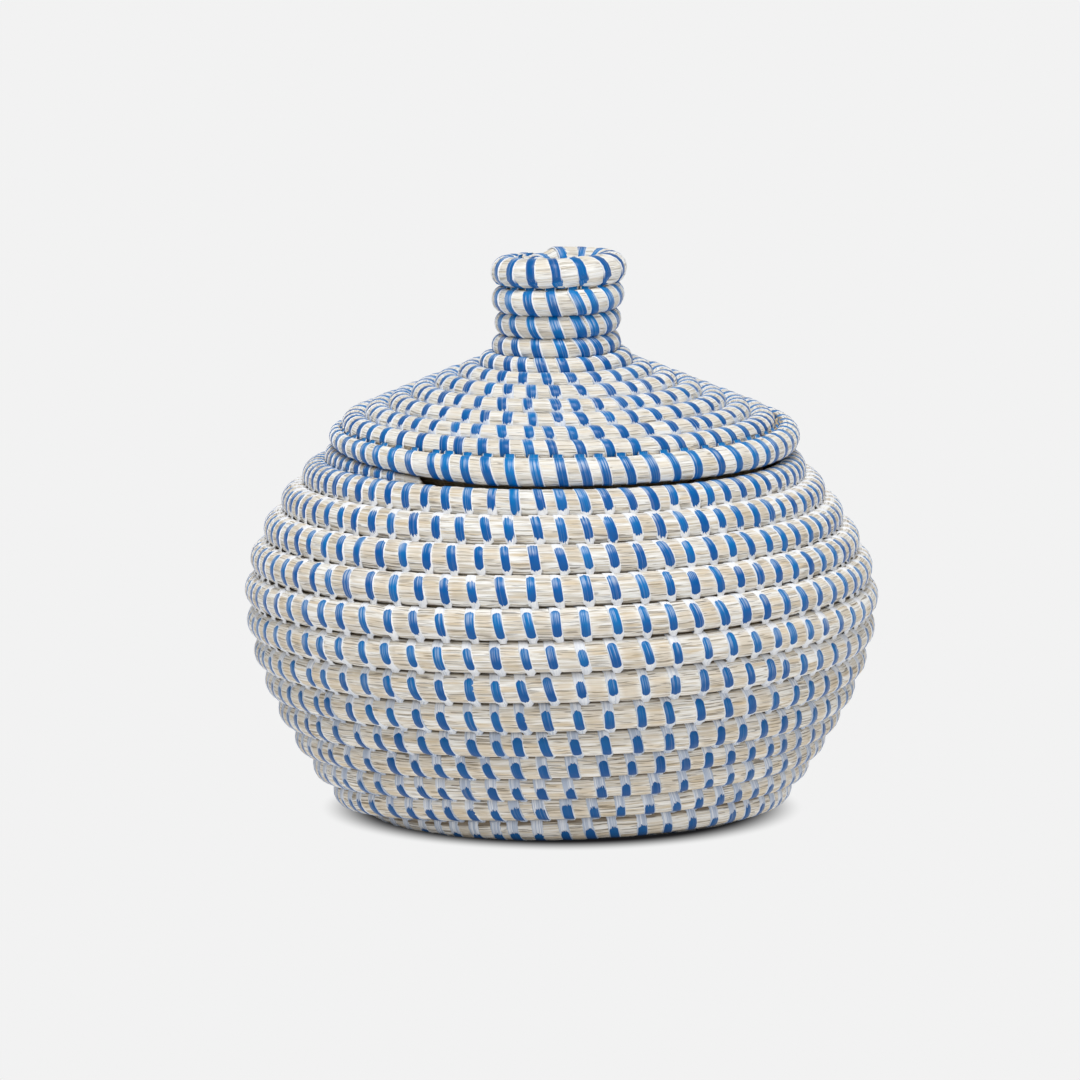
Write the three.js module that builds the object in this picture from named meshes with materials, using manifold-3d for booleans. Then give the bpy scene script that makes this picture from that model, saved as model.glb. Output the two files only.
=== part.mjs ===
// A lidded basket coiled from seagrass. A thick cord of grass starts in the middle of the base,
// winds out over the floor and climbs the round wall to the mouth. The lid is a second cord, wound
// out from the foot of its knob down to the rim; the knob has a cord of its own. Under the lid hangs
// a ring of cord that drops inside the mouth and keeps the lid from sliding.
// Millimetres, +Z up, the origin on the floor in the middle of the base, the front towards -Y.
import * as THREE from "three";
import { mergeVertices } from "three/addons/utils/BufferGeometryUtils.js";
import Module from "manifold-3d";

// The basket, measured to the middle of its cord.
const baseRadius = 73.5; // last course that lies on the floor
const heelRound = 7; // the turn from floor to wall starts and ends this far from their corner
const bellyRadius = 105; // widest course
const bellyHeight = 75.5;
const mouthRadius = 78;
const mouthHeight = 127.3;
const hipHeight = 46; // the wall's slopes at base and belly meet here
const shoulderHeight = 94; // and its slopes at belly and mouth here
const bodyCord = 10.5; // thickness of the grass cord along the wall
const packedRight = 0.035; // share by which the base's courses are thicker on the right
const packedFront = 0.066; // and on the front
const packedLeft = 0.06; // and the neck's courses on the left
const bodyTailAngle = 235; // where the cord tapers out on the mouth, front left

// The lid, in its own frame: Z up from the corner where the cone bends down into its rim.
const lidOverhang = 1.3; // its outermost course lies this far outside the mouth's
const lidSlope = 24; // fall of the cone towards the rim, in degrees
const brimRound = 5; // length over which the cone turns down to the rim
const lidCord = 7.8;
const rimCord = 9.2; // the last course is packed thicker
const rimDrop = 3.5; // how far the rim's tail ends below that corner
const lidTailAngle = 150; // where the rim's cord tapers out, back left
const lidTilt = 3.1; // the lid lies lower at the front, on the slope of the mouth's last turn

// The knob.
const knobRadius = 18.5; // middle of the upright courses
const knobFootRadius = 22.5; // the flare where it meets the cone
const knobWaist = 11; // height over the cone at which the flare ends
const knobHeight = 32.5; // from the cone to its top courses
const crownRound = 8; // rounding of the top edge
const crownFlare = 1; // the upper courses stand out by this much
const knobCord = 8;
const knobOffset = -1.5; // the knob sits a little to the left of the middle

// The locating ring under the lid.
const ringCord = 8;
const ringTurns = 2;
const ringClearance = 1.8; // play between the ring and the inside of the mouth

// Making.
const courseGap = 0.5; // left between one turn and the next
const centreGap = 0.4; // added to it in the first two turns, which are steep
const seatGap = 0.3; // left between pieces that rest on each other
const eye = 0.7; // how far a coil's start stays clear of the axis
const noseShare = 0.42; // thickness of a cord where its coil starts
const unwinding = 1.25; // the first turn leaves the middle at this power of its angle
const tailSweep = 100; // degrees over which the cord's end at a mouth or rim tapers
const tailShare = 0.3; // thickness left at that tip
const jointSteps = 5; // the same for ends that are stitched under, in steps of a turn
const jointShare = 0.45;
const floorCut = bodyCord / 10; // the base is pressed flat by this much
const swell = 1.1; // section height over width, before its flats are taken
const stepsPerTurn = 20;
const sides = 6;

const radians = THREE.MathUtils.degToRad;
const step = (2 * Math.PI) / stepsPerTurn;
const flat = swell * Math.cos(Math.PI / sides); // flat side's distance over half the cord
const corner = Math.hypot(0.5, flat); // farthest corner over half the cord
const snap = (degrees) => Math.round(radians(degrees) / step) * step;
const smooth = (x, low, high) => THREE.MathUtils.smoothstep(x, low, high);

function path(...curves) {
  const made = new THREE.CurvePath();
  curves.forEach((curve) => made.add(curve));
  return made;
}

const point = (r, z) => new THREE.Vector2(r, z);
const line = (a, b) => new THREE.LineCurve(a, b);
const bend = (a, b, c) => new THREE.QuadraticBezierCurve(a, b, c);

// Stations of a cord that follows a meridian outwards, each turn laid against the one before.
// widthAt gives half the cord at a distance along the meridian and an angle round the axis.
function wind({ meridian, widthAt, tailAngle, clockwise = false }) {
  const length = meridian.getLength();
  const turn = clockwise ? -1 : 1;
  const at = (s) => meridian.getPoint(THREE.MathUtils.clamp(s / length, 0, 1));
  const tailSteps = Math.round(radians(tailSweep) / step);

  function march(count) {
    const stations = [];
    for (let k = 0; k < (count ?? Infinity); k++) {
      const angle = count ? snap(tailAngle) - turn * (count - 1 - k) * step : Math.PI / 2;
      const nose = THREE.MathUtils.lerp(noseShare, 1, smooth(k, 0, 0.8 * stepsPerTurn));
      const toTail = count ? (count - 1 - k) / tailSteps : 1;
      const taper = nose * (tailShare + (1 - tailShare) * Math.min(1, toTail));
      const gap = courseGap + centreGap * (1 - smooth(k, stepsPerTurn, 3 * stepsPerTurn));
      const inner = stations[k - stepsPerTurn];
      let s;
      let w;
      if (inner) {
        s = inner.s + 2 * inner.w;
        for (let i = 0; i < 12; i++) {
          w = widthAt(s, angle) * taper;
          s += w + inner.w + gap - at(s).distanceTo(inner.point);
        }
      } else {
        const half = widthAt(0, angle);
        const pitch = (1 + noseShare) * half + gap;
        w = half * taper;
        s = noseShare * half + eye + pitch * (k / stepsPerTurn) ** unwinding;
      }
      if (!count && s > length) return march(k);
      const tangent = meridian.getTangent(THREE.MathUtils.clamp(s / length, 0.0002, 0.9998));
      stations.push({ s, w, angle, turn, shift: 0, point: at(s), tangent });
    }
    return stations;
  }

  return march();
}

// Where a point of a station's meridian plane lies.
function place({ angle, shift }, r, z) {
  return new THREE.Vector3(shift + r * Math.cos(angle), r * Math.sin(angle), z);
}

// The corners of the section at one station.
function section(station) {
  const { w, turn, point: p, tangent: t } = station;
  return Array.from({ length: sides }, (_, i) => {
    const a = (2 * Math.PI * i) / sides;
    const along = w * Math.cos(a);
    const out = w * swell * Math.sin(a) * turn;
    return place(station, p.x + along * t.x + out * t.y, p.y + along * t.y - out * t.x);
  });
}

// One unbroken closed tube through the stations.
function cordGeometry(stations) {
  const rings = stations.map(section);
  const ends = [rings[0], rings.at(-1)].map((ring) =>
    ring.reduce((sum, v) => sum.add(v), new THREE.Vector3()).divideScalar(sides),
  );
  const positions = [...rings.flat(), ...ends].flatMap((v) => v.toArray());
  const first = rings.length * sides;
  const index = [];
  for (let i = 0; i < sides; i++) {
    const j = (i + 1) % sides;
    for (let k = 0; k + 1 < rings.length; k++) {
      const here = k * sides;
      const next = here + sides;
      index.push(here + i, here + j, next + i);
      index.push(here + j, next + j, next + i);
    }
    index.push(first, j, i);
    index.push(first + 1, first - sides + i, first - sides + j);
  }
  const geometry = new THREE.BufferGeometry();
  geometry.setAttribute("position", new THREE.Float32BufferAttribute(positions, 3));
  geometry.setIndex(index);
  return geometry;
}

// Least distance between a turn's corners and those of the turn it lies against.
function leastGap(stations) {
  const rings = stations.map(section);
  let least = Infinity;
  rings.forEach((ring, k) => {
    for (const outer of rings.slice(k + stepsPerTurn - 1, k + stepsPerTurn + 2))
      for (const a of ring) for (const b of outer) least = Math.min(least, a.distanceTo(b));
  });
  return least;
}

const paintedGrass = { color: 0xddd8cb, roughness: 0.85, metalness: 0 };
const bareGrass = { color: 0xc0a67c, roughness: 0.9, metalness: 0 };

function piece(name, geometry, look) {
  geometry.computeVertexNormals();
  const mesh = new THREE.Mesh(geometry, new THREE.MeshStandardMaterial(look));
  mesh.name = name;
  return mesh;
}

// The corners and the middles of the edges of a mesh, where it stands.
function samples(mesh) {
  const { position } = mesh.geometry.attributes;
  const { array: index } = mesh.geometry.index;
  const corners = Array.from({ length: position.count }, (_, i) =>
    new THREE.Vector3().fromBufferAttribute(position, i).applyMatrix4(mesh.matrixWorld),
  );
  const middles = Array.from(index, (i, k) => {
    const next = index[k % 3 === 2 ? k - 2 : k + 1];
    return corners[i].clone().lerp(corners[next], 0.5);
  });
  return [...corners, ...middles];
}

// How far the upper mesh can sink onto the lower one, which lies below it, and still clear it.
function sinkage(upper, lower) {
  const ray = new THREE.Raycaster();
  const reach = (from, to, direction) =>
    samples(from).map((sample) => {
      ray.set(sample, direction);
      return ray.intersectObject(to)[0]?.distance ?? Infinity;
    });
  const up = new THREE.Vector3(0, 0, 1);
  const down = new THREE.Vector3(0, 0, -1);
  const least = Math.min(...reach(upper, lower, down), ...reach(lower, upper, up));
  return least - seatGap * Math.SQRT2; // leaves seatGap also where the faces slope by 45 degrees
}

// The basket's body

const floorLine = flat * (bodyCord / 2) - floorCut; // middle of the cord on the floor
const heelStart = point(baseRadius - heelRound, floorLine);
const heelCorner = point(baseRadius, floorLine);
const hip = point(bellyRadius, hipHeight);
const heelEnd = heelCorner.clone().lerp(hip, heelRound / heelCorner.distanceTo(hip));
const belly = point(bellyRadius, bellyHeight);
const bodyMeridian = path(
  line(point(0, floorLine), heelStart),
  bend(heelStart, heelCorner, heelEnd),
  bend(heelEnd, hip, belly),
  bend(belly, point(bellyRadius, shoulderHeight), point(mouthRadius, mouthHeight)),
);

// What the base's courses gain on one side, those of the wall lose again, so the courses lean.
const bodyLength = bodyMeridian.getLength();
function bodyHalf(s, angle) {
  const floor = 1 - smooth(s, 0.8 * baseRadius, baseRadius);
  const lowerWall =
    smooth(s, baseRadius, 1.1 * baseRadius) - smooth(s, 1.5 * baseRadius, 1.6 * baseRadius);
  const neck = smooth(s, 0.72 * bodyLength, 0.8 * bodyLength);
  const right = (packedRight * floor - packedLeft * neck) * Math.cos(angle);
  const front = packedFront * (2 * lowerWall - floor) * Math.sin(angle);
  return (bodyCord / 2) * (1 + right + front);
}
const bodyStations = wind({
  meridian: bodyMeridian,
  widthAt: bodyHalf,
  tailAngle: bodyTailAngle,
});

// The lid and its knob: one path from the top of the knob to the rim

const lidRadius = mouthRadius + lidOverhang;
const slope = new THREE.Vector2(Math.cos(radians(lidSlope)), -Math.sin(radians(lidSlope)));
const brim = point(lidRadius, 0);
const brimStart = brim.clone().addScaledVector(slope, -brimRound);
const footCorner = brim.clone().addScaledVector(slope, (knobFootRadius - lidRadius) / slope.x);
const footEnd = footCorner.clone().addScaledVector(slope, knobCord / 2);
const waist = point(knobRadius, footCorner.y + knobWaist);
const knobTop = footCorner.y + knobHeight;
const crown = point(knobRadius + crownFlare, knobTop);
const crownStart = point(crown.x - crownRound, knobTop);
const crownEnd = point(crown.x, knobTop - crownRound);
const knobMeridian = path(
  line(point(0, knobTop), crownStart),
  bend(crownStart, crown, crownEnd),
  line(crownEnd, waist),
  bend(waist, footCorner, footEnd),
);
const lidMeridian = path(
  ...knobMeridian.curves,
  line(footEnd, brimStart),
  bend(brimStart, brim, point(lidRadius, -rimDrop)),
);

const knobLength = knobMeridian.getLength();
const lidLength = lidMeridian.getLength();
function lidHalf(s) {
  const cone = smooth(s, knobLength - knobCord, knobLength + lidCord);
  const rim = smooth(s, lidLength - 1.2 * rimCord, lidLength - 0.6 * rimCord);
  return (THREE.MathUtils.lerp(knobCord, lidCord, cone) + (rimCord - lidCord) * rim) / 2;
}

// The knob sits off the middle, so the cone's courses are packed thicker on its far side.
function offCentre(station) {
  const out = (station.s - knobLength) / (lidLength - knobLength);
  const share = THREE.MathUtils.clamp(out, 0, 1);
  const packed = share > 0 && share < 1 ? -knobOffset / (lidLength - knobLength) : 0;
  return {
    ...station,
    w: station.w * (1 + packed * Math.cos(station.angle)),
    shift: knobOffset * (1 - share),
  };
}

const lidStations = wind({
  meridian: lidMeridian,
  widthAt: lidHalf,
  tailAngle: lidTailAngle,
  clockwise: true,
}).map(offCentre);

// The knob's cord ends at its foot and the cone's cord starts there, each drawn to a tip.
const joint = lidStations.findIndex(({ s }) => s > knobLength - knobCord / 2);
const tip = (steps) => THREE.MathUtils.lerp(jointShare, 1, Math.min(1, steps / jointSteps));
const drawn = (station, steps) => ({ ...station, w: station.w * tip(steps) });
const knobStations = lidStations
  .slice(0, joint)
  .map((station, k) => drawn(station, joint - 1 - k));
const coneStations = lidStations.slice(joint + 1).map((station, k) => drawn(station, k));

// The locating ring: upright courses just inside the mouth, sewn to the underside of the cone

const mouthStations = bodyStations.slice(-2 * stepsPerTurn);
const mouthInside = Math.min(...mouthStations.map(({ w, point: p }) => p.x - corner * w));
const ringRadius = mouthInside - ringClearance - (corner * ringCord) / 2;
const ringPitch = ringCord + courseGap;
const ringSteps = ringTurns * stepsPerTurn;
const ringStations = Array.from({ length: ringSteps + 1 }, (_, k) => ({
  w: (ringCord / 2) * tip(Math.min(k, ringSteps - k)),
  angle: snap(90) - k * step,
  turn: -1,
  shift: 0,
  point: point(ringRadius, (-ringPitch * k) / stepsPerTurn),
  tangent: new THREE.Vector2(0, -1),
}));

// Cutting the base flat

const wasm = await Module();
wasm.setup();

function solid(geometry) {
  const plain = geometry.clone();
  plain.deleteAttribute("normal");
  plain.deleteAttribute("uv");
  const merged = mergeVertices(plain, 1e-4);
  return new wasm.Manifold(
    new wasm.Mesh({
      numProp: 3,
      vertProperties: merged.attributes.position.array,
      triVerts: new Uint32Array(merged.index.array),
    }),
  );
}

function subtract(from, cutter) {
  const mesh = solid(from).subtract(solid(cutter)).getMesh();
  const geometry = new THREE.BufferGeometry();
  geometry.setAttribute("position", new THREE.BufferAttribute(mesh.vertProperties, 3));
  geometry.setIndex(new THREE.BufferAttribute(mesh.triVerts, 1));
  return geometry;
}

const floorBlock = new THREE.BoxGeometry(3 * bellyRadius, 3 * bellyRadius, 2 * bodyCord);
floorBlock.translate(0, 0, -bodyCord);

// The scene graph

const basket = new THREE.Group();
basket.add(piece("body_coil", subtract(cordGeometry(bodyStations), floorBlock), paintedGrass));

const lid = new THREE.Group();
const lidCoil = piece("lid_coil", cordGeometry(coneStations), paintedGrass);
const locatingRing = piece("locating_ring", cordGeometry(ringStations), bareGrass);
locatingRing.position.z = -2 * knobHeight; // well below the cone, and then raised to it
lid.add(piece("knob_coil", cordGeometry(knobStations), paintedGrass), lidCoil, locatingRing);
lid.updateMatrixWorld();
locatingRing.position.z += sinkage(lidCoil, locatingRing);

lid.rotation.x = radians(lidTilt);
lid.position.z = 2 * mouthHeight; // well above the mouth, and then lowered onto it
lid.updateMatrixWorld();
const rim = piece("rim", cordGeometry(coneStations.slice(-2 * stepsPerTurn)), paintedGrass);
rim.applyMatrix4(lid.matrixWorld);
rim.updateMatrixWorld();
lid.position.z -= sinkage(rim, piece("mouth", cordGeometry(mouthStations), paintedGrass));
basket.add(lid);

Object.entries({ bodyStations, knobStations, coneStations, ringStations }).forEach(
  ([name, stations]) =>
    console.log(name, "turns", (stations.length / stepsPerTurn).toFixed(1),
      "least gap to itself", leastGap(stations).toFixed(2), "mm"),
);

export default basket;
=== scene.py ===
import math

import bpy
import numpy as np
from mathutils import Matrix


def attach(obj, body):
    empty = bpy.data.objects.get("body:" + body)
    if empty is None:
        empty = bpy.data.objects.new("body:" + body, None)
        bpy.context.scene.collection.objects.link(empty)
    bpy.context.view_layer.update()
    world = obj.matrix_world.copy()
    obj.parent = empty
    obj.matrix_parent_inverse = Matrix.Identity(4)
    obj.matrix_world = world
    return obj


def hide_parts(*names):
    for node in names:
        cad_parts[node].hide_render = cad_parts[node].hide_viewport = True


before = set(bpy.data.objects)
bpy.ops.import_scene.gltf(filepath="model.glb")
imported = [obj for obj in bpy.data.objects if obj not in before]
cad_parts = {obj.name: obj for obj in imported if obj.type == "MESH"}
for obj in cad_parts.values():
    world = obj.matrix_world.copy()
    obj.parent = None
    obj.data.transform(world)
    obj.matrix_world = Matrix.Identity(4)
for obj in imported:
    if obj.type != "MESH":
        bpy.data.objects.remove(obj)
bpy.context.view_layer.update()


# The body's grass: one thick cord of dry seagrass leaves, wound out from the middle of the base to the
# heel and up the round wall to the mouth. Each course lies on the one before, and its outside is brushed
# with white paint. Millimetres until a mesh is made.

base_radius, heel_round = 72.8, 7
belly_radius, belly_height = 105, 75.5
mouth_radius, mouth_height = 76.2, 125.4
hip_height, shoulder_height = 48, 95
body_cord = 10.5
# how much thicker the cord is packed on one side of the floor, the lower wall or the neck, as a share
packed_right, packed_front, packed_wall, packed_left = 0.057, 0.075, 0.06, 0.058
# the last course is thinner by a share, and the neck stands a little to the left of the middle
mouth_thinner, neck_left = 0.07, 1.0
# the solid's cord is six-sided: how far out its flat side and that side's corners lie, in half cords
swell, solid_sides = 1.1, 6
flat = swell * math.cos(math.pi / solid_sides)
corner = math.hypot(0.5, flat)
floor_cut = body_cord / 10
steps_per_turn = 20
step = 2 * math.pi / steps_per_turn


def smooth(x, low, high):
    t = np.clip((np.asarray(x, float) - low) / (high - low), 0, 1)
    return t * t * (3 - 2 * t)


class Meridian:
    """A path in the plane through the axis, made of straight runs and bends and read by distance."""

    points_per_run = 300
    reach = 0.3

    def __init__(self, *runs):
        t = np.linspace(0, 1, self.points_per_run)[:, None]
        points = []
        for run in runs:
            a, b = np.array(run[0], float), np.array(run[-1], float)
            middle = np.array(run[1], float) if len(run) == 3 else (a + b) / 2
            points.append((1 - t) ** 2 * a + 2 * t * (1 - t) * middle + t * t * b)
        points = np.concatenate(points)
        far = np.hypot(*np.diff(points, axis=0).T)
        # one run starts where the last ends, and that point is kept once
        moves = far > 1e-9
        self.points = points[np.concatenate([[True], moves])]
        self.far = np.concatenate([[0], np.cumsum(far[moves])])
        self.length = self.far[-1]

    def at(self, s):
        s = np.clip(s, 0, self.length)
        return np.interp(s, self.far, self.points[:, 0]), np.interp(s, self.far, self.points[:, 1])

    def heading(self, s):
        ahead = self.at(np.minimum(s + self.reach, self.length))
        behind = self.at(np.maximum(s - self.reach, 0))
        r, z = ahead[0] - behind[0], ahead[1] - behind[1]
        return r / np.hypot(r, z), z / np.hypot(r, z)


class Coil:
    """A cord wound round the axis, with a station every 18 degrees, read between stations by k.

    s is a station's distance along the meridian and w half the cord's thickness there. In a section the
    angle a is 0 towards the next course, 90 degrees outwards and 180 towards the course before.
    turn is 1 or -1 for the way it winds, and shift moves each station sideways.
    """

    readings_per_station = 30

    def __init__(self, meridian, turn, first_angle, s, w, shift):
        self.meridian, self.turn, self.first_angle = meridian, turn, first_angle
        self.s, self.w, self.shift = (np.array(v, float) for v in (s, w, shift))
        self.last = len(self.s) - 1
        self.fine = np.linspace(0, self.last, self.readings_per_station * self.last + 1)
        line = self.point(self.fine, 0, 0)
        self.run = np.concatenate([[0], np.cumsum(np.linalg.norm(np.diff(line, axis=0), axis=1))])

    def between(self, values, k):
        """The value at k, on a smooth curve through the stations."""
        i = np.clip(np.floor(k).astype(int), 0, len(values) - 2)
        f = k - i
        ends = [2 * values[0] - values[1]], values, [2 * values[-1] - values[-2]]
        p = [np.concatenate(ends)[i + n] for n in range(4)]
        cubic = 3 * (p[1] - p[2]) + p[3] - p[0]
        return p[1] + f / 2 * (p[2] - p[0] + f * (2 * p[0] - 5 * p[1] + 4 * p[2] - p[3] + f * cubic))

    def half(self, k):
        return self.between(self.w, k)

    def distance(self, k):
        return np.interp(k, self.fine, self.run)

    def moved(self, k, millimetres):
        """k after going on by a length of cord."""
        return np.interp(self.distance(k) + millimetres, self.run, self.fine)

    def point(self, k, along, out):
        """The point that lies along and out from the middle of the cord, in its section at k."""
        k = np.asarray(k, float)
        s = self.between(self.s, k)
        (r, z), (tr, tz) = self.meridian.at(s), self.meridian.heading(s)
        r = r + along * tr + out * tz * self.turn
        z = z + along * tz - out * tr * self.turn
        angle = self.first_angle + self.turn * k * step
        x = self.between(self.shift, k) + r * np.cos(angle)
        return np.stack([x, r * np.sin(angle), z + 0 * r], -1)

    def part(self, first, last):
        """The stations from first up to last."""
        angle = self.first_angle + self.turn * first * step
        held = (values[first:last] for values in (self.s, self.w, self.shift))
        return Coil(self.meridian, self.turn, angle, *held)


def wind(meridian, half_at, tail_angle, turn):
    """Winds a cord along a meridian, each course against the one before, to a tip at tail_angle.

    The first march finds how many stations there are, and the second sets them back from the tip.
    """
    nose_share, nose_open, nose_end = 0.42, 0.7, 0.8
    tip_share, tip_stations = 0.3, 6
    course_gap, first_gap = 0.5, 0.4
    opening_power, rounds = 1.25, 12

    def march(count):
        s, w, points = [], [], []
        k = 0
        tail = round(math.radians(tail_angle) / step) * step
        while count is None or k < count:
            angle = math.pi / 2 if count is None else tail - turn * (count - 1 - k) * step
            nose = nose_share + (1 - nose_share) * smooth(k, 0, nose_end * steps_per_turn)
            to_tail = 1 if count is None else (count - 1 - k) / tip_stations
            taper = nose * (tip_share + (1 - tip_share) * min(1, to_tail))
            gap = course_gap + first_gap * (1 - smooth(k, steps_per_turn, 3 * steps_per_turn))
            if k >= steps_per_turn:
                inner = k - steps_per_turn
                here = s[inner] + 2 * w[inner]
                for _ in range(rounds):
                    half = half_at(here, angle) * taper
                    r, z = meridian.at(here)
                    away = math.hypot(r - points[inner][0], z - points[inner][1])
                    here += half + w[inner] + gap - away
            else:
                full = half_at(0, angle)
                half = full * taper
                opened = (k / steps_per_turn) ** opening_power
                here = nose_share * full + nose_open + ((1 + nose_share) * full + gap) * opened
            if count is None and here > meridian.length:
                return march(k)
            s.append(here)
            w.append(half)
            points.append(meridian.at(here))
            k += 1
        return Coil(meridian, turn, tail - turn * (count - 1) * step, s, w, [0] * count)

    return march(None)


floor_line = flat * body_cord / 2 - floor_cut
heel = (base_radius, floor_line)
to_hip = math.hypot(belly_radius - base_radius, hip_height - floor_line)
heel_end = tuple(a + (b - a) * heel_round / to_hip for a, b in zip(heel, (belly_radius, hip_height)))
body_meridian = Meridian(
    [(0, floor_line), (base_radius - heel_round, floor_line)],
    [(base_radius - heel_round, floor_line), heel, heel_end],
    [heel_end, (belly_radius, hip_height), (belly_radius, belly_height)],
    [(belly_radius, belly_height), (belly_radius, shoulder_height), (mouth_radius, mouth_height)],
)


def body_half(s, angle):
    floor = 1 - smooth(s, 0.8 * base_radius, base_radius)
    lower = smooth(s, base_radius, 1.1 * base_radius) - smooth(s, 1.5 * base_radius, 1.6 * base_radius)
    neck = smooth(s, 0.72 * body_meridian.length, 0.8 * body_meridian.length)
    right = (packed_right * floor - packed_wall * lower - packed_left * neck) * math.cos(angle)
    front = packed_front * (2 * lower - floor) * math.sin(angle)
    last = smooth(s, body_meridian.length - 1.6 * body_cord, body_meridian.length - body_cord)
    return body_cord / 2 * (1 + right + front - mouth_thinner * last)


body_coil = wind(body_meridian, body_half, 235, 1)
neck = smooth(body_coil.s, 0.72 * body_meridian.length, 0.9 * body_meridian.length)
body_coil.shift = -neck_left * neck


def sew(coil, per_turn_at, drift, seed):
    """Places of the stitches along a coil: beside the last turn's where they can be, with more put in
    as the turns grow. per_turn_at gives how many the maker sews to a turn at a distance s, and drift
    moves each column on by a share of a stitch with every turn."""
    first_stitch, last_stitch, tail_end = 0.4, 0.3, 0.2
    closeness, nearest, farthest = 0.92, 0.62, 1.3
    follow, unevenness = 0.7, 0.035
    chance = np.random.default_rng(seed)
    places = [first_stitch]
    before = 0
    while places[-1] < coil.last - last_stitch:
        k = places[-1]
        even = closeness * steps_per_turn / per_turn_at(float(coil.between(coil.s, np.float64(k))))
        ahead = k + even
        shift = steps_per_turn + drift * even
        while before < len(places) - 1 and places[before] + shift < k + nearest * even:
            before += 1
        column = places[before] + shift
        if before < len(places) - 1 and column < k + farthest * even:
            ahead = (1 - follow) * ahead + follow * column
            before += 1
        places.append(ahead + even * chance.normal(0, unevenness))
    return np.array([k for k in places if k < coil.last - tail_end])


fewest_per_turn = 5
floor_spacing = 8.2
# distance along the meridian and stitches to a turn there
wall_per_turn_at = [
    (base_radius, 54),
    (85, 57),
    (96, 59),
    (116, 61),
    (127, 64),
    (138, 67),
    (180, 69),
    (211, 70),
]


def body_per_turn(s):
    if s < base_radius:
        return max(fewest_per_turn, 2 * math.pi * float(body_meridian.at(s)[0]) / floor_spacing)
    return np.interp(s, *zip(*wall_per_turn_at))


body_stitches = sew(body_coil, body_per_turn, 0.1, 11)
# how far a stitch leans forward along the cord from the middle of its section to its edge
slant = 1.25


def tube(name, rings, uvs, attributes, placed=None):
    """A closed tube through rings of points. Each UV map gives the values at the start and the end of
    every stretch between two rings, and one value for each corner round the ring."""
    count, sides = rings.shape[:2]
    points = rings.reshape(-1, 3)
    if placed is not None:
        points = placed(points)
    i, j = np.meshgrid(np.arange(count - 1), np.arange(sides), indexing="ij")
    near, far = i * sides, (i + 1) * sides
    following = (j + 1) % sides
    quads = np.stack([near + j, far + j, far + following, near + following], -1).reshape(-1, 4)
    a, b, c, d = (points[quads[:, n]] for n in range(4))
    # a tube that is inside out has a volume below zero
    volume = np.einsum("ij,ij->i", a, np.cross(b, c)).sum()
    volume += np.einsum("ij,ij->i", a, np.cross(c, d)).sum()
    order = [0, 1, 2, 3] if volume > 0 else [3, 2, 1, 0]
    first = np.arange(sides)
    caps = [first, first + (count - 1) * sides]
    if volume > 0:
        caps[1] = caps[1][::-1]
    else:
        caps[0] = caps[0][::-1]
    mesh = bpy.data.meshes.new(name)
    corners = np.concatenate([quads[:, order].reshape(-1), *caps]).astype(np.int32)
    sizes = np.concatenate([np.full(len(quads), 4), [sides, sides]]).astype(np.int32)
    mesh.vertices.add(len(points))
    mesh.vertices.foreach_set("co", (points / 1000).astype(np.float32).reshape(-1))
    mesh.loops.add(len(corners))
    mesh.loops.foreach_set("vertex_index", corners)
    mesh.polygons.add(len(sizes))
    mesh.polygons.foreach_set("loop_start", (np.cumsum(sizes) - sizes).astype(np.int32))
    mesh.polygons.foreach_set("loop_total", sizes)
    for title, (starts, ends, around) in uvs.items():
        layer = mesh.uv_layers.new(name=title)
        u = np.stack([starts, ends, ends, starts], -1)[:, None, :]
        v = np.stack([around[:-1], around[:-1], around[1:], around[1:]], -1)[None, :, :]
        u, v = np.broadcast_arrays(u, v)
        flat_uv = np.stack([u.reshape(-1, 4)[:, order], v.reshape(-1, 4)[:, order]], -1).reshape(-1, 2)
        flat_uv = np.concatenate([flat_uv, np.zeros((2 * sides, 2))])
        layer.uv.foreach_set("vector", flat_uv.astype(np.float32).reshape(-1))
    for title, values in attributes.items():
        held = mesh.attributes.new(title, "FLOAT_VECTOR", "POINT")
        spread = np.broadcast_to(values[:, None, :], (count, sides, 3))
        held.data.foreach_set("vector", spread.astype(np.float32).reshape(-1))
    mesh.update(calc_edges=True)
    mesh.validate()
    mesh.polygons.foreach_set("use_smooth", np.ones(len(mesh.polygons), bool))
    made = bpy.data.objects.new(name, mesh)
    bpy.context.collection.objects.link(made)
    return made


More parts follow.
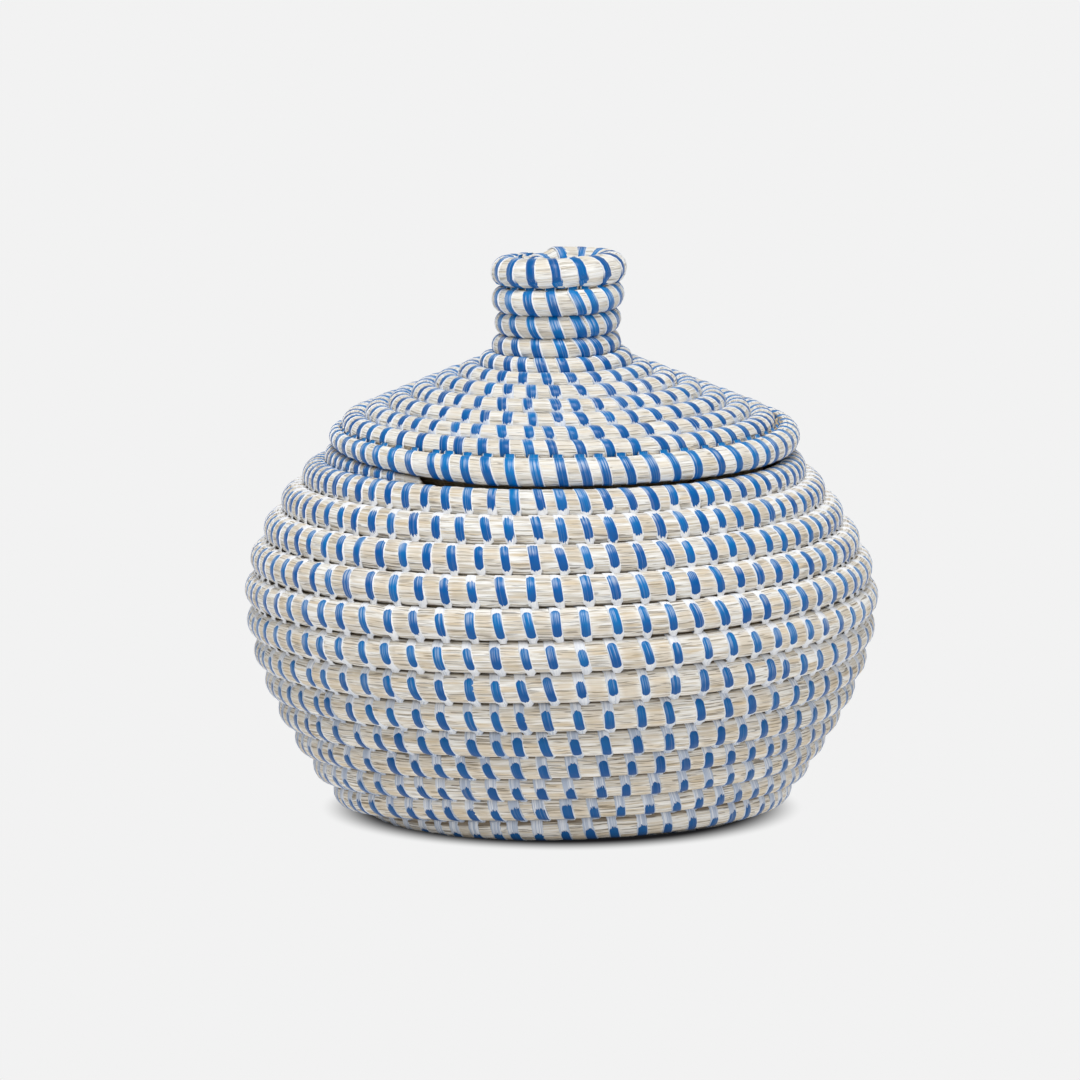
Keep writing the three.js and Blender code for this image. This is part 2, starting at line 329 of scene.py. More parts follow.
def grass(name, coil, stitches, seed, placed=None, floor=None, first=0, last=None, covered=0):
    """The grass of a coil: it swells between its stitches and is drawn in under each. first and last
    are its ends where only a length of the coil is made, and up to covered it is painted all round."""
    sides, free_end, end_room = 18, 0.3, 0.15
    shares = np.array([0, 0.14, 0.32, 0.5, 0.68, 0.86])
    drawn_in, swollen, padding, depth = -0.024, 0.047, 0.22, 0.985
    fullness_varies, wave_varies = 0.013, 0.016
    chance = np.random.default_rng(seed)
    last = coil.last if last is None else last
    knots = stitches[(stitches > first + end_room) & (stitches < last - end_room)]
    knots = np.concatenate([[first], knots, [last]])
    k = (knots[:-1, None] + (knots[1:] - knots[:-1])[:, None] * shares).reshape(-1)
    phase = np.tile(shares, len(knots) - 1)
    k, phase = np.append(k, knots[-1]), np.append(phase, 0)
    gap_of = np.append(np.repeat(np.arange(len(knots) - 1), len(shares)), len(knots) - 2)
    a = np.pi + 2 * np.pi * np.arange(sides) / sides
    # lumps of the bundle: each gap has its own fullness and its own low wave round the section
    fullness = chance.normal(0, fullness_varies, len(knots))[gap_of]
    wave = chance.normal(0, wave_varies, (len(knots), 3))[gap_of]
    belly_out = np.sin(np.pi * phase) ** 0.7
    lump = wave[:, :1] * np.cos(2 * a) + wave[:, 1:2] * np.sin(2 * a)
    lump = lump + wave[:, 2:] * np.cos(3 * a + gap_of[:, None])
    scale = 1 + (drawn_in + (swollen + fullness) * belly_out)[:, None] + lump * belly_out[:, None]
    half = coil.half(k)[:, None]
    # the section leans as the stitches do, and the padding closes the gap to the next course
    leaning = coil.moved(k[:, None], -slant * np.cos(a))
    along = (half + padding) * scale * np.cos(a)
    out = half * depth * scale * np.sin(a)
    # the free ends close on a small ring
    for end, free in ((0, first == 0), (-1, last == coil.last)):
        along[end] *= free_end if free else 1
        out[end] *= free_end if free else 1
    rings = coil.point(leaning, along, out)
    if floor is not None:
        rings[..., 2] = np.maximum(rings[..., 2], floor)
    run = coil.distance(k) / 1000
    uvs = {
        "cord": (run[:-1], run[1:], np.linspace(0, 0.033, sides + 1)),
        "gap": (phase[:-1], np.where(phase[1:] == 0, 1, phase[1:]), np.linspace(0, 1, sides + 1)),
    }
    all_round = (1 - smooth(k, covered - 3, covered)) * (covered > 0)
    shade, other_shade = (chance.random(len(knots))[gap_of] for _ in range(2))
    return tube(name, rings, uvs, {"tone": np.stack([shade, other_shade, all_round], -1)}, placed)


# the coil is made as two meshes, which meet under a stitch just past the heel
past_heel, lowest_grass = 80, 0.25
heel_stitch = body_stitches[np.argmin(np.abs(body_coil.between(body_coil.s, body_stitches) - past_heel))]
base_grass = grass("base_grass", body_coil, body_stitches, 20, floor=lowest_grass, last=heel_stitch)
wall_grass = grass("wall_grass", body_coil, body_stitches, 21, floor=lowest_grass, first=heel_stitch)
for piece in (base_grass, wall_grass):
    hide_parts("body_coil")
    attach(piece, "basket")


def linear(r, g, b):
    """A colour read off as 0 to 255, as the shader wants it."""
    parts = [c / 255 for c in (r, g, b)]
    return tuple(c / 12.92 if c <= 0.04 else ((c + 0.055) / 1.055) ** 2.4 for c in parts) + (1,)


def toned(colour, share):
    """A colour made darker by a share below 1, or paler by one above 1."""
    return tuple(min(1, c * share) for c in colour[:3]) + (1,)


class Value:
    """One socket of a material's node tree, so that a pattern can be written as a sum."""

    def __init__(self, socket):
        self.socket = socket
        self.tree = socket.id_data

    def node(self, kind, settings, inputs, output=0):
        """A node of that kind: its settings first, then the values or links of its sockets."""
        made = self.tree.nodes.new(kind)
        for title, value in settings.items():
            setattr(made, title, value)
        for title, value in inputs.items():
            if isinstance(value, Value):
                self.tree.links.new(value.socket, made.inputs[title])
            else:
                made.inputs[title].default_value = value
        return Value(made.outputs[output])

    def sum(self, operation, a, b):
        kind = "ShaderNodeMath" if self.socket.type == "VALUE" else "ShaderNodeVectorMath"
        return self.node(kind, {"operation": operation}, {0: a, 1: b})

    def __add__(self, other):
        return self.sum("ADD", self, other)

    __radd__ = __add__

    def __mul__(self, other):
        return self.sum("MULTIPLY", self, other)

    __rmul__ = __mul__

    def __sub__(self, other):
        return self.sum("SUBTRACT", self, other)

    def __rsub__(self, other):
        return self.sum("SUBTRACT", other, self)

    def __truediv__(self, other):
        return self.sum("DIVIDE", self, other)

    def __pow__(self, other):
        return self.sum("POWER", self, other)

    def most(self, other):
        return self.sum("MAXIMUM", self, other)

    def least(self, other):
        return self.sum("MINIMUM", self, other)

    def size(self):
        return self.node("ShaderNodeMath", {"operation": "ABSOLUTE"}, {0: self})

    def rise(self, low, high):
        """0 below low, 1 above high, smooth in between."""
        settings = {"interpolation_type": "SMOOTHSTEP"}
        inputs = {"Value": self, "From Min": low, "From Max": high}
        return self.node("ShaderNodeMapRange", settings, inputs)

    def tint(self, under, over):
        """A colour that goes from under to over as this mask goes from 0 to 1."""
        settings = {"data_type": "RGBA"}
        return self.node("ShaderNodeMix", settings, {0: self, 6: under, 7: over}, 2)

    def parts(self):
        """The three numbers of a vector."""
        split = self.node("ShaderNodeSeparateXYZ", {}, {0: self}).socket.node
        return [Value(split.outputs[n]) for n in range(3)]

    def streaks(self, x, y, layer, detail=3.0):
        """Noise whose streaks follow from the scales of x and y. layer picks one pattern of many."""
        place = self.node("ShaderNodeCombineXYZ", {}, {0: x, 1: y, 2: layer})
        inputs = {"Vector": place, "Scale": 1.0, "Detail": detail, "Roughness": 0.55}
        return self.node("ShaderNodeTexNoise", {"noise_dimensions": "3D"}, inputs)


def material(name, shine):
    """A new material with its shader, and a value to start its pattern from."""
    made = bpy.data.materials.new(name)
    made.use_nodes = True
    shader = made.node_tree.nodes["Principled BSDF"]
    shader.inputs["Specular IOR Level"].default_value = shine
    start = Value(made.node_tree.nodes.new("ShaderNodeTexCoord").outputs["Object"])
    return made, shader, start


def finish(shader, start, colour, roughness, bump, depth):
    """Gives the shader its colour, its roughness and a relief that is depth metres deep."""
    normal = start.node("ShaderNodeBump", {}, {"Height": bump, "Distance": depth, "Strength": 1.0})
    start.tree.links.new(colour.socket, shader.inputs["Base Color"])
    start.tree.links.new(roughness.socket, shader.inputs["Roughness"])
    start.tree.links.new(normal.socket, shader.inputs["Normal"])


def painted_grass(name, paint, shaded_paint, bare, dark, window_share, low_tint):
    """Dry grass leaves lying along the cord, brushed white outside. Midway between two stitches, where
    the bundle swells, the paint is rubbed off the leaf; cracks between leaves stay dark, and a painted
    shade darkens the creases between courses. low_tint is how much barer and darker the grass grows
    towards the floor, where that painted shade in the creases is wider."""
    hairs_per_metre, leaves_per_metre, broad_per_metre, cracks_per_metre = 3400, 1300, 520, 2100
    made, shader, start = material(name, 0.2)
    cord = start.node("ShaderNodeUVMap", {"uv_map": "cord"}, {})
    gap = start.node("ShaderNodeUVMap", {"uv_map": "gap"}, {})
    tone = start.node("ShaderNodeAttribute", {"attribute_name": "tone"}, {}, "Vector")
    u, v, _ = cord.parts()
    phase, around, _ = gap.parts()
    chance, other_chance, all_round = tone.parts()
    _, _, height = start.parts()
    wavy = v + (start.streaks(u * 60, v * 60, 0.5, detail=1.0) - 0.5) * 0.0012
    hair = start.streaks(u * 75, wavy * hairs_per_metre, chance * 9, detail=2.0)
    leaf = start.streaks(u * 60, wavy * leaves_per_metre, chance * 5 + 3, detail=2.0)
    broad = start.streaks(u * 45, wavy * broad_per_metre, chance * 5 + 23, detail=2.0)
    crack = start.streaks(u * 95, wavy * cracks_per_metre, other_chance * 7 + 11, detail=1.0)
    lowness = (1 - height.rise(0.02, 0.09)) * low_tint
    # outside is the half of the section from 0.5 to 1
    facing = 1 - (around - 0.75).size() * 4
    outside = facing.rise(-0.12, 0.12).most(all_round)
    crest = 1 - ((phase - 0.5).size() * 2)
    window = crest.rise(0.2, 0.75) * facing.rise(0.2, 0.75)
    window = window * (broad + chance * 0.28).rise(0.5, 0.72) * leaf.rise(0.25, 0.5)
    grain = (hair * 0.35 + leaf * 0.65).rise(0.41, 0.56)
    coat = grain.tint(shaded_paint, paint)
    leaves = (hair * 0.5 + broad * 0.5).rise(0.35, 0.65).tint(toned(bare, 0.72), bare)
    thin = (window * window_share + (1 - grain) * broad.rise(0.45, 0.7) * 0.36).least(0.9)
    painted = thin.tint(coat, leaves)
    # paint fills most of the cracks where the cord faces outwards, and fewer of them low down
    filled = facing.rise(0.25, 0.8).most(all_round) * (0.55 - lowness * 0.35)
    cracks = crack.rise(0.61, 0.65) * (1.0 - filled)
    painted = (cracks * 0.75).tint(painted, dark)
    # painted shade at the bottom of the crease between two courses, broken along the leaves and wider
    # low on the basket
    painted_crease_shade = 1 - facing.rise(lowness * 0.12 + 0.08, lowness * 0.12 + 0.22)
    painted_crease_shade = painted_crease_shade * leaf.rise(0.3, 0.5) * (1 - all_round)
    painted = (painted_crease_shade * 0.9).tint(painted, dark)
    painted = (lowness * 0.12).tint(painted, leaves)
    natural = (hair.rise(0.3, 0.7) * 0.6).tint(leaves, toned(bare, 1.35))
    natural = (cracks * 0.6).tint(natural, dark)
    colour = outside.tint(natural, painted)
    roughness = 0.65 + hair * 0.3
    bump = hair * 0.5 + leaf * 0.6 + broad * 0.4 - cracks * 0.8
    finish(shader, start, colour, roughness, bump, 0.0006)
    return made


body_paint = painted_grass(
    "painted seagrass of the body",
    paint=linear(246, 245, 241),
    shaded_paint=linear(215, 208, 195),
    bare=linear(216, 193, 155),
    dark=linear(96, 80, 60),
    window_share=0.52,
    low_tint=1.0,
)
for piece in (base_grass, wall_grass):
    piece.data.materials.append(body_paint)


# The body's binding: one long flat strip, dyed blue, wound round the cord and through the course below,
# with a stitch every 8 to 10 mm. Brushed white paint covers its ends at the creases and its two edges.

strip_width = 4.3
# the stops of each wrap, in degrees round the cord's section: over the outside, down the leg through
# the course before, and back along the inside. On the leg the strip faces another way than it stands.
outer_stops = [8, 30, 52, 74, 96, 118, 140, 156]
leg_stops, leg_facing = [165, 180, 195], [125, 180, 235]
inner_stops = [218, 262, 310, 345]
# the strip's section, with a rounded back: shares of its width, and millimetres up
strip_profile = [(-0.5, -0.28), (-0.38, 0.16), (0, 0.24), (0.38, 0.16), (0.5, -0.28)]


def strip(name, coil, stitches, marks, seed, placed=None, bridge=0.7, floor=None):
    """The binding of a coil as one ribbon. marks gives each stitch its upper and lower end of blue, as
    shares of a quarter turn up and down from the outermost line, how ragged they are, and how the
    white paint on it looks: its share of blue showing through, and the share of the blue rubbed pale."""
    proud, depth, height, padding, leg_depth = 0.2, 0.955, 0.975, 0.2, 1.2
    slant_varies, width_varies = 0.22, 0.05
    chance = np.random.default_rng(seed)
    wraps = len(stitches) - 1
    a = np.radians(np.array(outer_stops + leg_stops + inner_stops, float))
    facing = np.radians(np.array(outer_stops + leg_facing + inner_stops, float))
    leg = np.array([0.0] * len(outer_stops) + [1, 2, 1] + [0] * len(inner_stops))
    stops = len(a)
    here = coil.distance(stitches)
    start, end = here[:-1, None], here[1:, None]
    outer = start - slant * np.cos(a)[None, :] * chance.normal(1, slant_varies, (wraps, 1))
    inner_share = np.clip((np.degrees(a) - leg_stops[-1]) / (360 - leg_stops[-1]), 0, 1)[None, :]
    inner = start + slant + (end - start - 2 * slant) * inner_share
    outside = np.arange(stops)[None, :] < len(outer_stops + leg_stops)
    run = np.where(outside, np.where(leg > 0, start + slant, outer), inner)
    k = np.interp(run, coil.run, coil.fine)
    half = coil.half(k)
    along = (half * height + padding + proud) * np.cos(a)
    out = (half * depth + proud) * np.sin(a)
    # the leg reaches over the crease by the bridge, and in through the course before
    dip = np.where(leg == 1, half + bridge, half + bridge + leg_depth)
    along = np.where(leg > 0, -dip, along)
    over_crease = np.sign(np.sin(a)) * 0.6 * bridge * half
    out = np.where(leg == 1, over_crease, np.where(leg == 2, 0, out))
    k, along, out = (x.reshape(-1) for x in (k, along, out))
    middle = coil.point(k, along, out)
    # each ring of the ribbon lies flat on the cord and square to the way it runs
    lean = np.tile(facing, wraps)
    up = coil.point(k, along + 0.5 * np.cos(lean), out + 0.5 * np.sin(lean)) - middle
    up /= np.linalg.norm(up, axis=1)[:, None]
    ahead = np.gradient(middle, axis=0)
    across = np.cross(ahead, up)
    across /= np.linalg.norm(across, axis=1)[:, None]
    up = np.cross(across, ahead)
    up /= np.linalg.norm(up, axis=1)[:, None]
    wide = np.repeat(chance.normal(1, width_varies, wraps), stops)[:, None, None]
    narrow = np.tile(np.where(leg > 0, 1 - 0.5 * bridge, 1.0), wraps)[:, None, None]
    profile = np.array(strip_profile)
    rings = (
        middle[:, None, :]
        + across[:, None, :] * profile[None, :, :1] * strip_width * wide * narrow
        + up[:, None, :] * profile[None, :, 1:]
    )
    if floor is not None:
        rings[..., 2] = np.maximum(rings[..., 2], floor)
    # up the outside of a stitch from -1 to 1, nothing on its way back inside
    up_side = coil.turn * (90 - np.degrees(a)) / 90
    up_side = np.tile(np.where(np.degrees(a) > 200, 0, up_side), wraps)
    inside = np.tile((np.degrees(a) > 185) * 1.0, wraps)
    ends = np.repeat(marks[:wraps], stops, axis=0)
    looks = {
        "ends": ends[:, :3],
        "wash": np.stack([ends[:, 3], ends[:, 4], np.repeat(chance.random(wraps), stops)], -1),
        "side": np.stack([up_side, inside, 0 * up_side], -1),
    }
    far = run.reshape(-1) / 1000
    uvs = {"strip": (far[:-1], far[1:], np.array([0, 0.12, 0.5, 0.88, 1, 0]))}
    return tube(name, rings, uvs, looks, placed)


# distance along the meridian: upper end, lower end, raggedness, blue through the paint, paleness
body_marks_at = [
    (0, 0.4, -0.5, 0.3, 0.3, 0.1),
    (75, 0.46, -0.6, 0.2, 0.7, 0.02),
    (85, 0.35, -0.65, 0.2, 0.75, 0.02),
    (96, 0.38, -0.65, 0.15, 0.75, 0.02),
    (106, 0.48, -0.6, 0.1, 0.7, 0.02),
    (116, 0.53, -0.45, 0.08, 0.6, 0.02),
    (127, 0.53, -0.42, 0.08, 0.4, 0.02),
    (138, 0.53, -0.38, 0.07, 0.2, 0.02),
    (148, 0.54, -0.46, 0.07, 0.15, 0.02),
    (159, 0.52, -0.7, 0.08, 0.1, 0.03),
    (170, 0.49, -0.69, 0.1, 0.05, 0.04),
    (181, 0.4, -0.7, 0.15, 0.05, 0.05),
    (192, 0.28, -0.68, 0.25, 0.05, 0.1),
    (202, 1.3, -0.72, 0.22, 0.05, 0.08),
    (212, 1.3, -0.72, 0.22, 0.05, 0.08),
]


def marks_along(table, coil, stitches, seed):
    """The marks of each stitch: the table's at its place, with a little chance in each."""
    chance = np.random.default_rng(seed)
    s = coil.between(coil.s, stitches)
    table = np.array(table)
    marks = np.stack([np.interp(s, table[:, 0], table[:, n]) for n in range(1, 6)], -1)
    varies = [0.06, 0.06, 0.04, 0.05, 0.06]
    return marks + chance.normal(0, 1, marks.shape) * varies


body_marks = marks_along(body_marks_at, body_coil, body_stitches, 31)
body_strip = strip("body_binding", body_coil, body_stitches, body_marks, 41, floor=0.1)
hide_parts("body_coil")
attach(body_strip, "basket")


def blue_strip(name, blue, bright, wash, veiled):
    """Dyed strip with a soft shine, a painted highlight and painted shade, under brushed white paint
    that leaves a rounded window of blue.
    """
    made, shader, start = material(name, 0.26)
    path = start.node("ShaderNodeUVMap", {"uv_map": "strip"}, {})
    ends = start.node("ShaderNodeAttribute", {"attribute_name": "ends"}, {}, "Vector")
    brush = start.node("ShaderNodeAttribute", {"attribute_name": "wash"}, {}, "Vector")
    side = start.node("ShaderNodeAttribute", {"attribute_name": "side"}, {}, "Vector")
    run, across, _ = path.parts()
    upper, lower, ragged = ends.parts()
    through, paleness, chance = brush.parts()
    height, inside, _ = side.parts()
    _, _, tall = start.parts()
    edge = (across - 0.5).size() * 2
    # hairs of the brush run along the strip
    hairs = start.streaks(run * 90, across * 9, chance * 40, detail=2.0)
    cloud = start.streaks(run * 260, across * 2.2, chance * 20 + 5)
    # the window of blue ends in a curve, over the last reach of its height
    fray = (hairs - 0.5) * ragged * 2.2
    reach = 0.2
    over = (height - upper + reach + fray).most((lower + reach) - height + fray)
    over = over.most(0.0) / reach
    side_line = edge / (0.8 - cloud * 0.08)
    spread = (over * over + side_line * side_line) ** 0.5
    shown = 1 - (spread + (cloud - 0.5) * 0.14).rise(0.9, 1.02)
    shown = shown.most(inside)
    rubbed = (hairs.rise(0.5, 0.72) * paleness * (1 - inside)).least(0.8)
    # the blue gets a painted highlight towards the upper end of each stitch, mixed with a tone that
    # differs from stitch to stitch and in clouds, and a painted shade low on the basket
    highlight_and_tone = height.rise(-0.45, 0.5) * 0.6 + chance * 0.5 + (cloud - 0.5) * 0.5
    blue_and_painted_light = highlight_and_tone.rise(0.15, 1.0).tint(blue, bright)
    blue_and_painted_light = ((1 - tall.rise(0.02, 0.1)) * 0.75).tint(blue_and_painted_light, toned(blue, 0.6))
    # a painted highlight along the hairs on the outermost line of each stitch, fading out low on the
    # basket
    painted_highlight = height.rise(-0.1, 0.2) * (1 - height.rise(0.3, 0.6))
    painted_highlight = painted_highlight * hairs.rise(0.42, 0.62) * tall.rise(0.04, 0.09)
    blue_and_painted_light = (painted_highlight * 0.36).tint(blue_and_painted_light, wash)
    blue_and_painted_light = rubbed.tint(blue_and_painted_light, wash)
    brushed = hairs.rise(0.4, 0.6) * 0.5 + cloud.rise(0.35, 0.7) * 0.4
    paint = ((brushed + 0.15) * through * 2.0).least(1.0).tint(wash, veiled)
    paint = (hairs.rise(0.58, 0.66) * 0.35).tint(paint, veiled)
    colour = shown.tint(paint, blue_and_painted_light)
    roughness = 0.65 - shown * 0.4 + hairs * 0.1
    bump = hairs * 0.25 - shown * 0.3
    finish(shader, start, colour, roughness, bump, 0.00035)
    return made


body_blue = blue_strip(
    "blue strip of the body",
    blue=linear(0, 86, 158),
    bright=linear(0, 120, 190),
    wash=linear(241, 242, 244),
    veiled=linear(176, 187, 205),
)
body_strip.data.materials.append(body_blue)


# The lid and its knob: two cords of seagrass, bound and painted as the body is. The knob's is wound from
# the middle of its top down its side to its foot, where the cone's takes over and runs out to the rim.
# They are wound here along one path, in the lid's own frame, which has its origin at the brim's height.

lid_radius, lid_slope, brim_round = 78.7, 22.8, 3
lid_cord, rim_cord, rim_drop = 8.5, 9.2, 4.4
lid_tilt = math.radians(1.4)
lid_rise = 131.9
knob_radius, knob_foot_radius, knob_waist, knob_height = 17.6, 23.3, 10, 34.1
crown_round, crown_flare = 4.6, 1.4
knob_cord, knob_offset = 7.9, -1.4
# distance from the middle of the knob's top and the cord's thickness there
knob_cord_at = [(0, 8.5), (10, 12), (20, 9.7), (30, 8.0), (40, 7.1), (50, 6.8)]

fall = np.array([math.cos(math.radians(lid_slope)), -math.sin(math.radians(lid_slope))])
brim = np.array([lid_radius, 0.0])
brim_start = brim - brim_round * fall
foot = brim + fall * (knob_foot_radius - lid_radius) / fall[0]
foot_end = foot + fall * knob_cord / 2
waist = (knob_radius, foot[1] + knob_waist)
knob_top = foot[1] + knob_height
crown = knob_radius + crown_flare
knob_runs = [
    [(0, knob_top), (crown - crown_round, knob_top)],
    [(crown - crown_round, knob_top), (crown, knob_top), (crown, knob_top - crown_round)],
    [(crown, knob_top - crown_round), waist],
    [waist, foot, foot_end],
]
knob_length = Meridian(*knob_runs).length
lid_meridian = Meridian(*knob_runs, [foot_end, brim_start], [brim_start, brim, (lid_radius, -rim_drop)])
lid_length = lid_meridian.length


def lid_half(s, angle):
    knob = np.interp(s, *zip(*knob_cord_at))
    cone = smooth(s, knob_length - knob_cord, knob_length + lid_cord)
    rim = smooth(s, lid_length - 1.2 * rim_cord, lid_length - 0.6 * rim_cord)
    return (knob + (lid_cord - knob) * cone + (rim_cord - lid_cord) * rim) / 2


lid_wound = wind(lid_meridian, lid_half, 150, -1)


# the knob sits off the middle, so the cone's courses are packed thicker on its far side
cone_length = lid_length - knob_length
share = np.clip((lid_wound.s - knob_length) / cone_length, 0, 1)
packed = np.where((share > 0) & (share < 1), -knob_offset / cone_length, 0)
lid_angles = lid_wound.first_angle - np.arange(len(share)) * step
lid_w = lid_wound.w * (1 + packed * np.cos(lid_angles))
# the knob's two innermost courses bulge to the right, the first of them thicker than the rest
station = np.arange(len(share))
inner_bulge = smooth(station, -3, 3) - smooth(station, 4, 11)
outer_bulge = smooth(station, 17, 23) - smooth(station, 24, 31)
inner_thicker, inner_right, outer_right = 1.2, 3.6, 6
lid_w = lid_w + inner_thicker * inner_bulge
lid_shift = knob_offset * (1 - share) + inner_right * inner_bulge + outer_right * outer_bulge
lid_whole = Coil(lid_meridian, -1, lid_wound.first_angle, lid_wound.s, lid_w, lid_shift)
joint = int(np.argmax(lid_whole.s > knob_length - knob_cord / 2))
knob_coil = lid_whole.part(0, joint + 1)
cone_coil = lid_whole.part(joint, len(lid_whole.s))


def tilted(points):
    """Leans the lid forward by its tilt."""
    x, y, z = np.moveaxis(points, -1, 0)
    cos, sin = math.cos(lid_tilt), math.sin(lid_tilt)
    return np.stack([x, y * cos - z * sin, y * sin + z * cos], -1)


def seated(points):
    """From the lid's own frame to its place on the mouth."""
    return tilted(points) + [0, 0, lid_rise]


# distance along the meridian and millimetres from stitch to stitch there
lid_spacing_at = [(0, 6.8), (50, 7.2), (62, 8.8), (96, 8.8), (108, 8.6)]


def lid_per_turn(s):
    radius = float(lid_meridian.at(s)[0])
    return max(fewest_per_turn, 2 * math.pi * radius / np.interp(s, *zip(*lid_spacing_at)))


knob_stitches = sew(knob_coil, lid_per_turn, -0.1, 12)
cone_stitches = sew(cone_coil, lid_per_turn, -0.1, 13)

# the lid's grass and strip are paler copies of the body's: in part paler paint, in part a lit copy for
# the light that falls on the cone and knob from above
lid_paint = painted_grass(
    "painted seagrass of the lid",
    paint=linear(250, 249, 245),
    shaded_paint=linear(234, 229, 218),
    bare=linear(222, 203, 170),
    dark=linear(144, 126, 98),
    window_share=0.38,
    low_tint=0.0,
)
lid_blue = blue_strip(
    "blue strip of the lid",
    blue=linear(0, 88, 158),
    bright=linear(0, 122, 194),
    wash=linear(243, 244, 246),
    veiled=linear(196, 208, 226),
)

# the knob's first two courses are painted all round, in and on top too
painted_round = 42
knob_grass = grass("knob_grass", knob_coil, knob_stitches, 22, placed=seated, covered=painted_round)
knob_marks_at = [(0, 1.3, -1.3, 0.1, 0.1, 0.1), (53, 1.3, -1.3, 0.1, 0.1, 0.1)]
knob_marks = marks_along(knob_marks_at, knob_coil, knob_stitches, 32)
knob_strip = strip("knob_binding", knob_coil, knob_stitches, knob_marks, 42, placed=seated, bridge=0.05)
for piece, look in ((knob_grass, lid_paint), (knob_strip, lid_blue)):
    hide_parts("knob_coil")
    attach(piece, "lid")
    piece.data.materials.append(look)

cone_grass = grass("lid_grass", cone_coil, cone_stitches, 23, placed=seated)
cone_marks_at = [
    (50, 1.3, -0.8, 0.2, 0.3, 0.12),
    (60, 1.3, -0.6, 0.2, 0.4, 0.16),
    (100, 1.3, -0.6, 0.2, 0.4, 0.16),
    (105, 1.3, -1.3, 0.1, 0.1, 0.1),
    (114, 1.3, -1.3, 0.1, 0.1, 0.1),
]
cone_marks = marks_along(cone_marks_at, cone_coil, cone_stitches, 33)
cone_strip = strip("lid_binding", cone_coil, cone_stitches, cone_marks, 43, placed=seated, bridge=0.05)
for piece, look in ((cone_grass, lid_paint), (cone_strip, lid_blue)):
    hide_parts("lid_coil")
    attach(piece, "lid")
    piece.data.materials.append(look)


# The locating ring: two upright turns of unpainted cord, sewn under the cone, that drop inside the mouth
# and keep the lid from sliding. Bare grass, bound with a bare strip.

ring_cord, ring_turns, ring_clearance, ring_drop = 8, 2, 1.8, 2.0
ring_per_turn = 44
tip_stations, tip_share = 5, 0.45
mouth_k = np.arange(len(body_coil.s) - 2 * steps_per_turn, len(body_coil.s))
mouth_inside = min(body_meridian.at(body_coil.s[mouth_k])[0] - corner * body_coil.w[mouth_k])
ring_radius = mouth_inside - ring_clearance - corner * ring_cord / 2
ring_pitch = ring_cord + 0.5
ring_k = np.arange(ring_turns * steps_per_turn + 1)
ring_s = ring_pitch * ring_k / steps_per_turn
ring_tips = np.minimum(ring_k, ring_k[::-1]) / tip_stations
ring_w = ring_cord / 2 * (tip_share + (1 - tip_share) * np.minimum(1, ring_tips))
ring_meridian = Meridian([(ring_radius, 0), (ring_radius, -ring_turns * ring_pitch)])
ring_coil = Coil(ring_meridian, -1, round(math.pi / 2 / step) * step, ring_s, ring_w, 0 * ring_s)


def hung(points):
    """From the ring's own frame to its place under the cone."""
    return seated(points - [0, 0, ring_drop])


ring_stitches = sew(ring_coil, lambda s: ring_per_turn, 0.0, 14)
ring_grass = grass("ring_grass", ring_coil, ring_stitches, 24, placed=hung)
ring_marks = np.tile([1.3, -1.3, 0.0, 0.0, 0.0], (len(ring_stitches), 1))
ring_strip = strip("ring_binding", ring_coil, ring_stitches, ring_marks, 44, placed=hung)


def bare_leaf(name, uv_map, leaves, cracks, light, shade, dark):
    """Dry leaf without paint, with its streaks along the cord or the strip."""
    made, shader, start = material(name, 0.25)
    u, v, _ = start.node("ShaderNodeUVMap", {"uv_map": uv_map}, {}).parts()
    leaf = start.streaks(u * 95, v * leaves, 2.0)
    crack = start.streaks(u * 55, v * cracks, 7.0)
    colour = leaf.rise(0.3, 0.7).tint(shade, light)
    colour = (crack.rise(0.66, 0.74) * 0.6).tint(colour, dark)
    finish(shader, start, colour, 0.7 + leaf * 0.2, leaf + crack * 0.5, 0.0004)
    return made


ring_leaf = bare_leaf(
    "bare seagrass",
    uv_map="cord",
    leaves=1500,
    cracks=900,
    light=linear(205, 182, 144),
    shade=linear(168, 142, 104),
    dark=linear(92, 74, 50),
)
ring_bind = bare_leaf(
    "bare strip",
    uv_map="strip",
    leaves=9,
    cracks=5,
    light=linear(214, 194, 158),
    shade=linear(186, 162, 122),
    dark=linear(120, 98, 70),
)
for piece, look in ((ring_grass, ring_leaf), (ring_strip, ring_bind)):
    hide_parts("locating_ring")
    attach(piece, "lid")
    piece.data.materials.append(look)


# The studio: a wide pale floor that is the whole background, a pale world and two soft lamps. The floor
# shines evenly, as a lit sweep does, and a painted shadow darkens it only close round the foot of the
# basket.

studio_grey = linear(242, 242, 242)
foot_shadow = linear(26, 26, 28)
foot_reach = 0.07, 0.09
world_strength = 0.38
# the floor lights the basket a little more than it shows to the camera
floor_light = 1.16

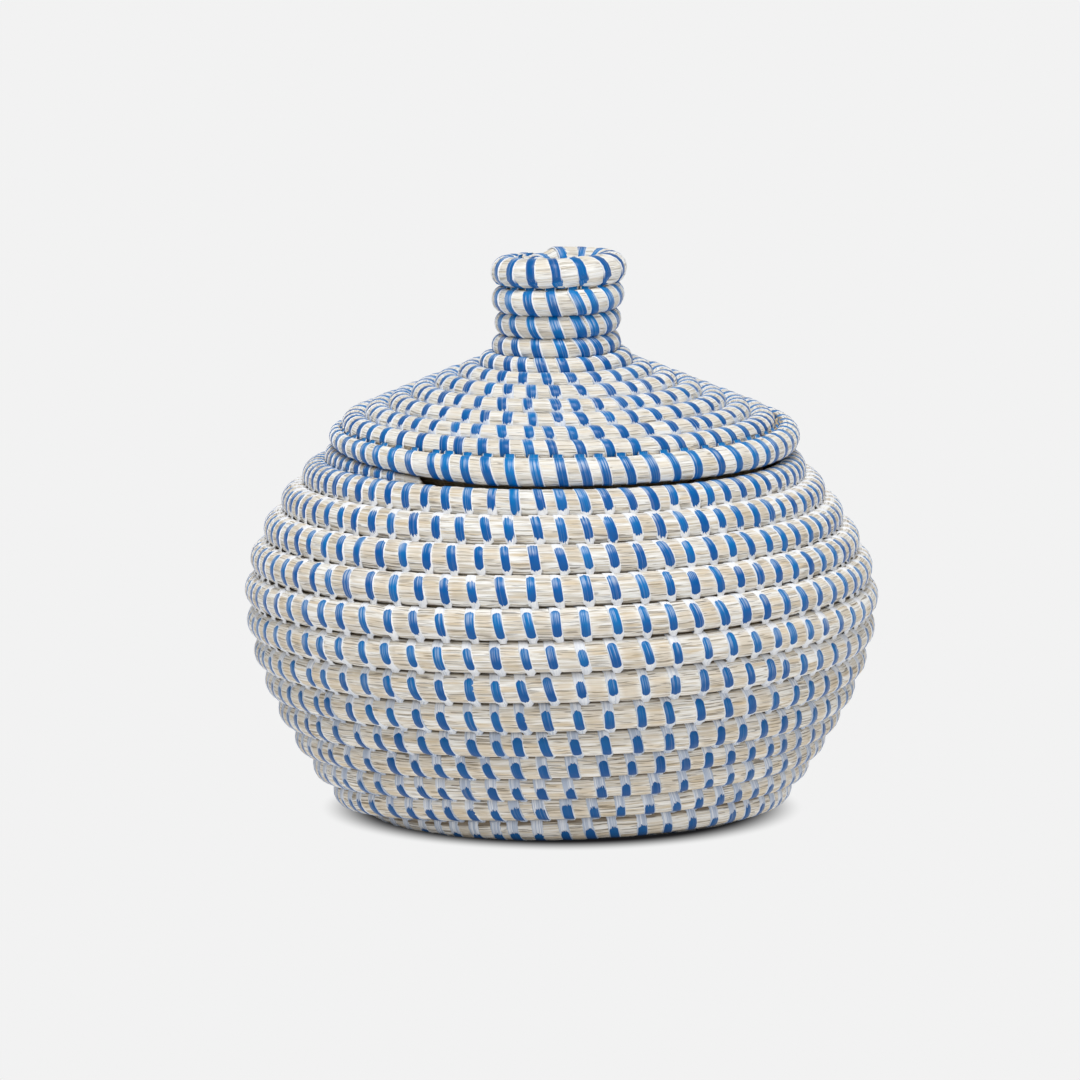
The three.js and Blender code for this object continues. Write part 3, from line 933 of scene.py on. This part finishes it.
bpy.ops.object.select_all(action="DESELECT")
bpy.ops.mesh.primitive_plane_add(size=40, location=(0, 0, 0))
studio_floor = bpy.context.object
studio_floor.name = "studio_floor"
floor_look, floor_shader, floor_start = material("pale floor", 0.0)
floor_shader.inputs["Base Color"].default_value = (0, 0, 0, 1)
floor_shader.inputs["Roughness"].default_value = 1.0
floor_shader.inputs["Emission Strength"].default_value = 1.0
floor_x, floor_y, _ = floor_start.parts()
# a painted shadow of the basket on the floor, dark close round its foot and fading out a little further
# off
foot_distance = ((floor_x * 1.06) ** 2 + (floor_y + 0.002) ** 2) ** 0.5
floor_shade = foot_distance.rise(*foot_reach).tint(foot_shadow, studio_grey)
seen = floor_start.node("ShaderNodeLightPath", {}, {}, "Is Camera Ray")
floor_shade = floor_shade * (floor_light - seen * (floor_light - 1))
floor_start.tree.links.new(floor_shade.socket, floor_shader.inputs["Emission Color"])
studio_floor.data.materials.append(floor_look)

world = bpy.data.worlds.new("pale studio")
bpy.context.scene.world = world
world.use_nodes = True
world_look = world.node_tree.nodes["Background"]
world_look.inputs["Color"].default_value = studio_grey
world_look.inputs["Strength"].default_value = world_strength


def sun(name, azimuth, elevation, spread, power):
    """A wide soft light from far off: azimuth 0 is the front, 90 the right."""
    data = bpy.data.lights.new(name, "SUN")
    data.energy, data.angle = power * math.pi, math.radians(spread)
    made = bpy.data.objects.new(name, data)
    bpy.context.collection.objects.link(made)
    made.rotation_euler = (math.radians(90 - elevation), 0, math.radians(azimuth))


sun("softbox_over", -4, 70, 30, 0.7)
sun("softbox_front", 10, 20, 60, 0.15)

camera_data = bpy.data.cameras.new("camera")
camera = bpy.data.objects.new("camera", camera_data)
bpy.context.collection.objects.link(camera)
camera_data.lens, camera_data.sensor_width = 287, 36
# three metres off, eight degrees above the level, aimed at the middle of the photograph
distance, down = 3, math.radians(8)
aim_x, aim_z = -0.0075, 0.0938
camera.location = (aim_x, -distance * math.cos(down), aim_z + distance * math.sin(down))
camera.rotation_euler = (math.radians(90) - down, 0, 0)
bpy.context.scene.camera = camera
bpy.context.scene.view_settings.view_transform = "Standard"
